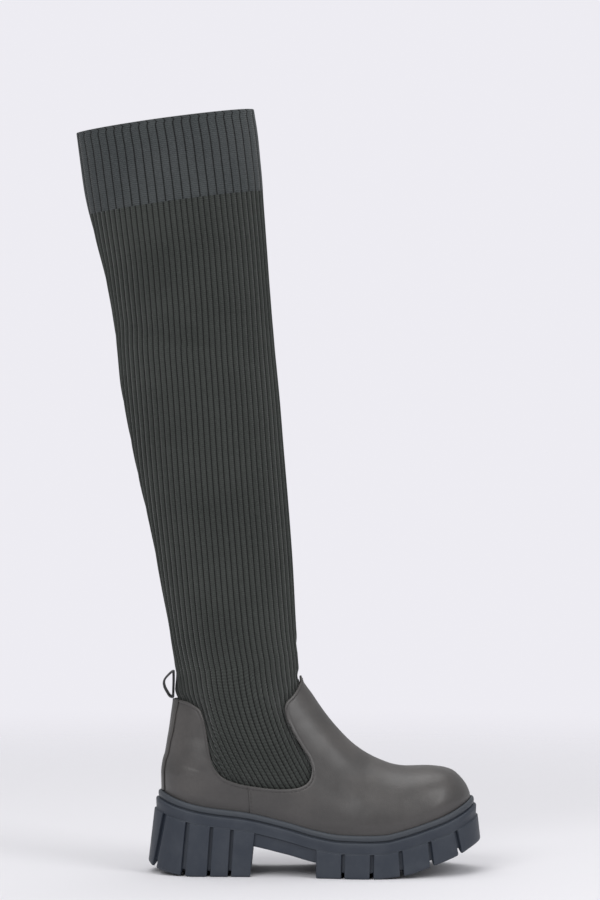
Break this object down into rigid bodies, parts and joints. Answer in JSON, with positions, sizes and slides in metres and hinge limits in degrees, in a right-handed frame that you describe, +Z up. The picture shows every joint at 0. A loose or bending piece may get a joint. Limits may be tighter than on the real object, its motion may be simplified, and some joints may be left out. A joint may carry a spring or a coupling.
{
  "type": "over-the-knee knitted sock boot with a lug sole",
  "caption": "Right over-the-knee sock boot: ribbed knitted shaft with a denser cuff, leather foot cut away at the sides, pull loop and chunky lugged unit sole.",
  "frame": {"origin": "on the floor, at the middle of the heel's flat tread", "axes": "+Z up the shaft, +X to the toe, -Y to the outer side of the foot"},
  "size_m": [0.3405, 0.1101, 0.6389],
  "materials": {
    "outsole": "satin",
    "welt": "satin",
    "insole": "matte",
    "upper": "semi-gloss, smooth",
    "back_strip": "semi-gloss, smooth",
    "pull_loop": "matte woven tape",
    "shaft": "matte rib knit"
  },
  "bodies": {
    "root": {"outsole": "outsole", "welt": "welt", "insole": "insole", "upper": "upper", "back_strip": "back_strip", "pull_loop": "pull_loop", "shaft": "shaft"}
  },
  "joints": []
}
